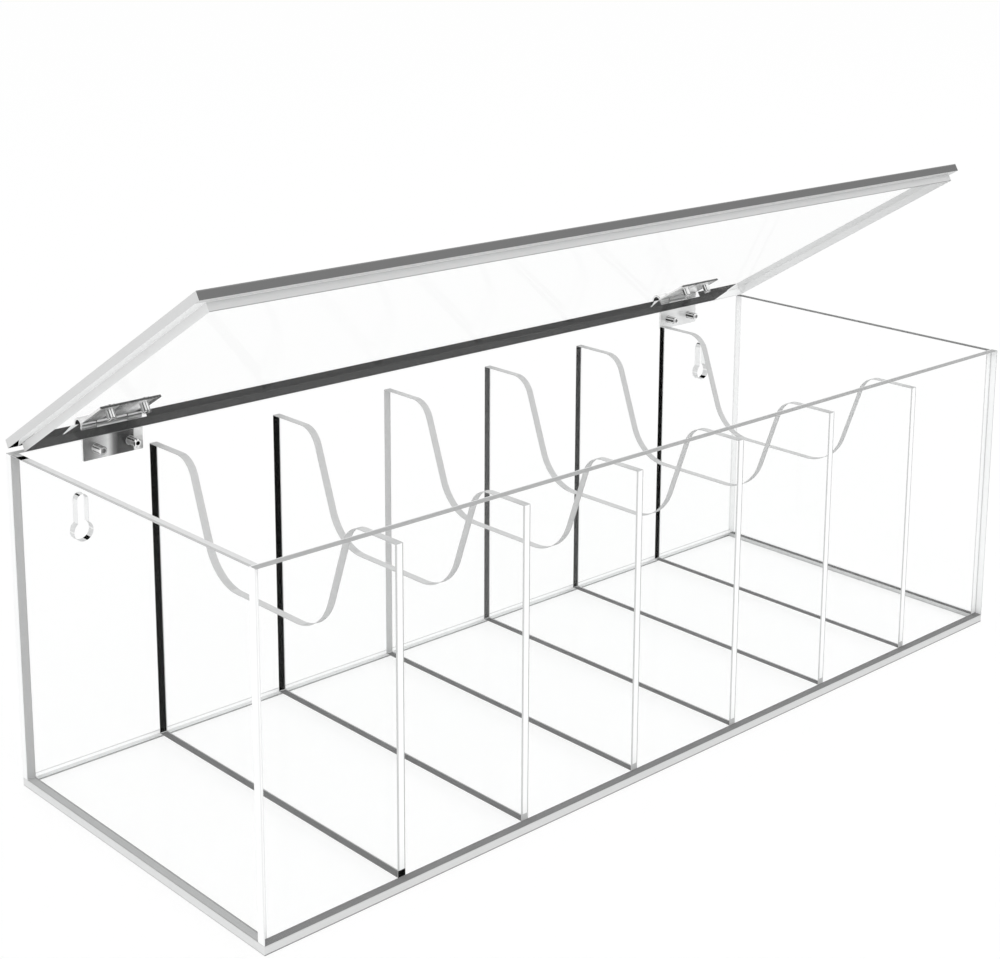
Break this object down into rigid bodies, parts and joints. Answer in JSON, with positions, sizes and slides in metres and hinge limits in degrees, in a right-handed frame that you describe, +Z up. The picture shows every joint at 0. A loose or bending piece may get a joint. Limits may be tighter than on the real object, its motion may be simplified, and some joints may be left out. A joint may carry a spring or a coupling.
{
  "type": "belt organizer box",
  "caption": "Clear box with compartments in a row for coiled belts, scooped dividers, a hinged lid and keyholes.",
  "frame": {"origin": "bottom centre of the box, on the surface that it stands on", "axes": "+X along the length, +Y towards the hinges and +Z up"},
  "size_m": [0.36, 0.145, 0.1904],
  "materials": {
    "clear_acrylic": "clear cast acrylic sheet with polished edges",
    "polished_steel": "polished steel"
  },
  "bodies": {
    "box": {"bottom_panel": "clear_acrylic", "front_wall": "clear_acrylic", "back_wall": "clear_acrylic", "left_wall": "clear_acrylic", "right_wall": "clear_acrylic", "divider_1": "clear_acrylic", "divider_2": "clear_acrylic", "divider_3": "clear_acrylic", "divider_4": "clear_acrylic", "divider_5": "clear_acrylic", "divider_6": "clear_acrylic", "left_wall_leaf": "polished_steel", "left_hinge_pin": "polished_steel", "left_wall_screws": "polished_steel", "right_wall_leaf": "polished_steel", "right_hinge_pin": "polished_steel", "right_wall_screws": "polished_steel"},
    "lid": {"lid_panel": "clear_acrylic", "lid_insert": "clear_acrylic", "left_lid_leaf": "polished_steel", "left_lid_screws": "polished_steel", "right_lid_leaf": "polished_steel", "right_lid_screws": "polished_steel"}
  },
  "joints": [
    {"name": "lid_hinge", "type": "hinge", "parent": "box", "child": "lid", "pos_m": [0, 0.0725, 0.1204], "axis": [-1, 0, 0], "range_deg": [-31, 204]}
  ]
}
